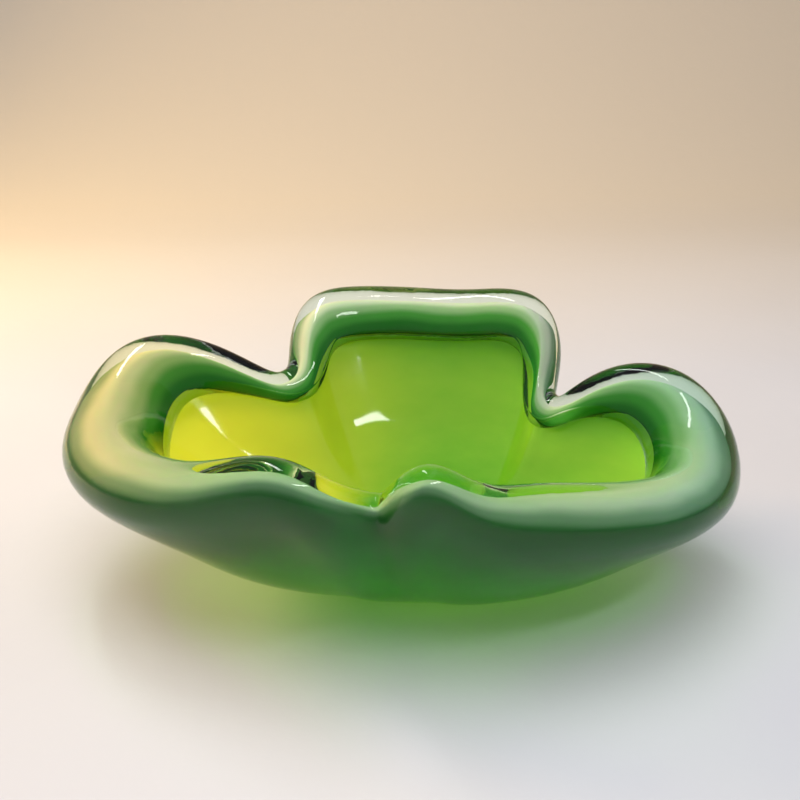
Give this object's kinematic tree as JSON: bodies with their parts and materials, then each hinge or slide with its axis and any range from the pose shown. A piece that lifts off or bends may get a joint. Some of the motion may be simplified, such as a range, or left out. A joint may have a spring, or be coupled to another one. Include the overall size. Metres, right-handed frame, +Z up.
{
  "type": "art glass bowl",
  "caption": "Low cased glass bowl with a flat ground base, its rim rolled inwards over rounded lobes and pinched down between them; clear outside, opal white beneath, green inside.",
  "frame": {"origin": "centre of the flat ground base, on the table", "axes": "+Z up out of the bowl; -Y towards the narrow front cleft; +X to the right seen from the front"},
  "size_m": [0.2258, 0.1773, 0.0802],
  "materials": {
    "clear_glass": "fire-polished clear glass",
    "opal_glass": "milky white translucent glass",
    "green_glass": "glossy bright green glass"
  },
  "bodies": {
    "root": {"clear_casing": "clear_glass", "opal_layer": "opal_glass", "green_lining": "green_glass"}
  },
  "joints": []
}
